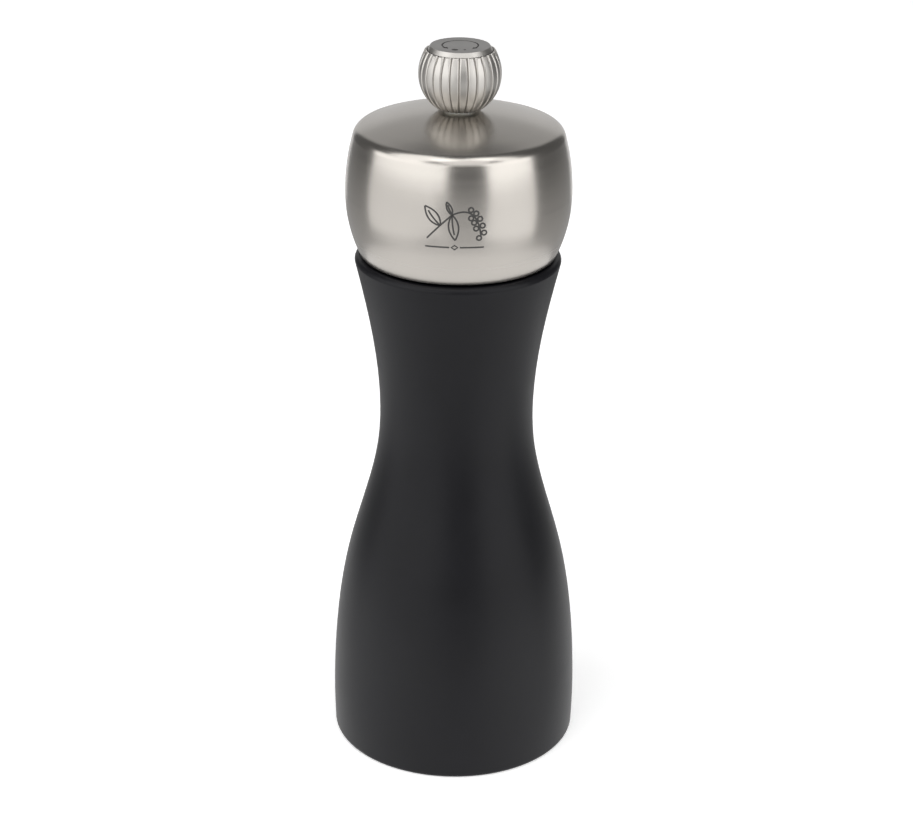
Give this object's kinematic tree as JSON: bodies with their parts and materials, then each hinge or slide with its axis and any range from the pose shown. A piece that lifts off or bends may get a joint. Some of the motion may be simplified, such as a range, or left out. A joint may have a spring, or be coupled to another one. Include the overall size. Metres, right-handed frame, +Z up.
{
  "type": "pepper mill",
  "caption": "Table pepper mill: black hourglass wooden body, barrel-shaped satin steel head that turns the grinder, and a fluted ball knob that sets the grind.",
  "frame": {"origin": "centre of the foot, on the surface the mill stands on", "axes": "+Z up the spindle to the knob; -Y is the front, where the head's mark is"},
  "size_m": [0.0514, 0.0514, 0.15],
  "materials": {
    "body_lacquer": "turned beech under a matt black lacquer",
    "beech": "natural turned beech",
    "satin_steel": "stainless steel, satin, spun",
    "bright_steel": "stainless steel, half bright",
    "spindle_steel": "drawn steel rod",
    "burr_steel": "case-hardened steel, dark",
    "plated_steel": "zinc-plated steel",
    "spring_steel": "spring wire",
    "brass": "turned brass",
    "nylon": "natural nylon"
  },
  "bodies": {
    "mill_base": {"mill_body": "body_lacquer", "stator": "burr_steel", "stirrup": "plated_steel", "guide_bush": "nylon", "spring": "spring_steel", "crossbar": "plated_steel", "crossbar_screws": "plated_steel"},
    "glide": {"glide_ring": "nylon"},
    "head": {"head_shell": "satin_steel", "head_core": "beech", "head_ferrule": "satin_steel", "drive_plate": "plated_steel", "drive_plate_screws": "plated_steel"},
    "knob_seat": {"knob_washer": "nylon"},
    "knob": {"knob_ball": "bright_steel", "knob_disc": "bright_steel", "knob_insert": "brass"},
    "spring_seat": {"thrust_washer": "plated_steel"},
    "spindle": {"shaft": "spindle_steel", "rotor": "burr_steel", "rotor_washer": "plated_steel", "rotor_nut": "plated_steel"}
  },
  "joints": [
    {"name": "head_lift", "type": "slide", "parent": "mill_base", "child": "glide", "axis": [0, 0, 1], "range_m": [0, 0.06]},
    {"name": "head_turn", "type": "hinge", "parent": "glide", "child": "head", "pos_m": [0, 0, 0.1], "axis": [0, 0, 1], "continuous": true},
    {"name": "knob_lift", "type": "slide", "parent": "head", "child": "knob_seat", "axis": [0, 0, 1], "range_m": [0, 0.02]},
    {"name": "knob_turn", "type": "hinge", "parent": "knob_seat", "child": "knob", "pos_m": [0, 0, 0.1445], "axis": [0, 0, -1], "range_deg": [0, 720]},
    {"name": "grind_adjust", "type": "slide", "parent": "mill_base", "child": "spring_seat", "axis": [0, 0, 1], "range_m": [0, 0.0014], "deforming": ["spring"]},
    {"name": "spindle_turn", "type": "hinge", "parent": "spring_seat", "child": "spindle", "pos_m": [0, 0, 0.02], "axis": [0, 0, 1], "continuous": true}
  ],
  "couplings": [
    {"joint": "knob_turn", "follows": "grind_adjust", "rad_per_m": 8975.9},
    {"joint": "spindle_turn", "follows": "head_turn", "ratio": 1}
  ]
}
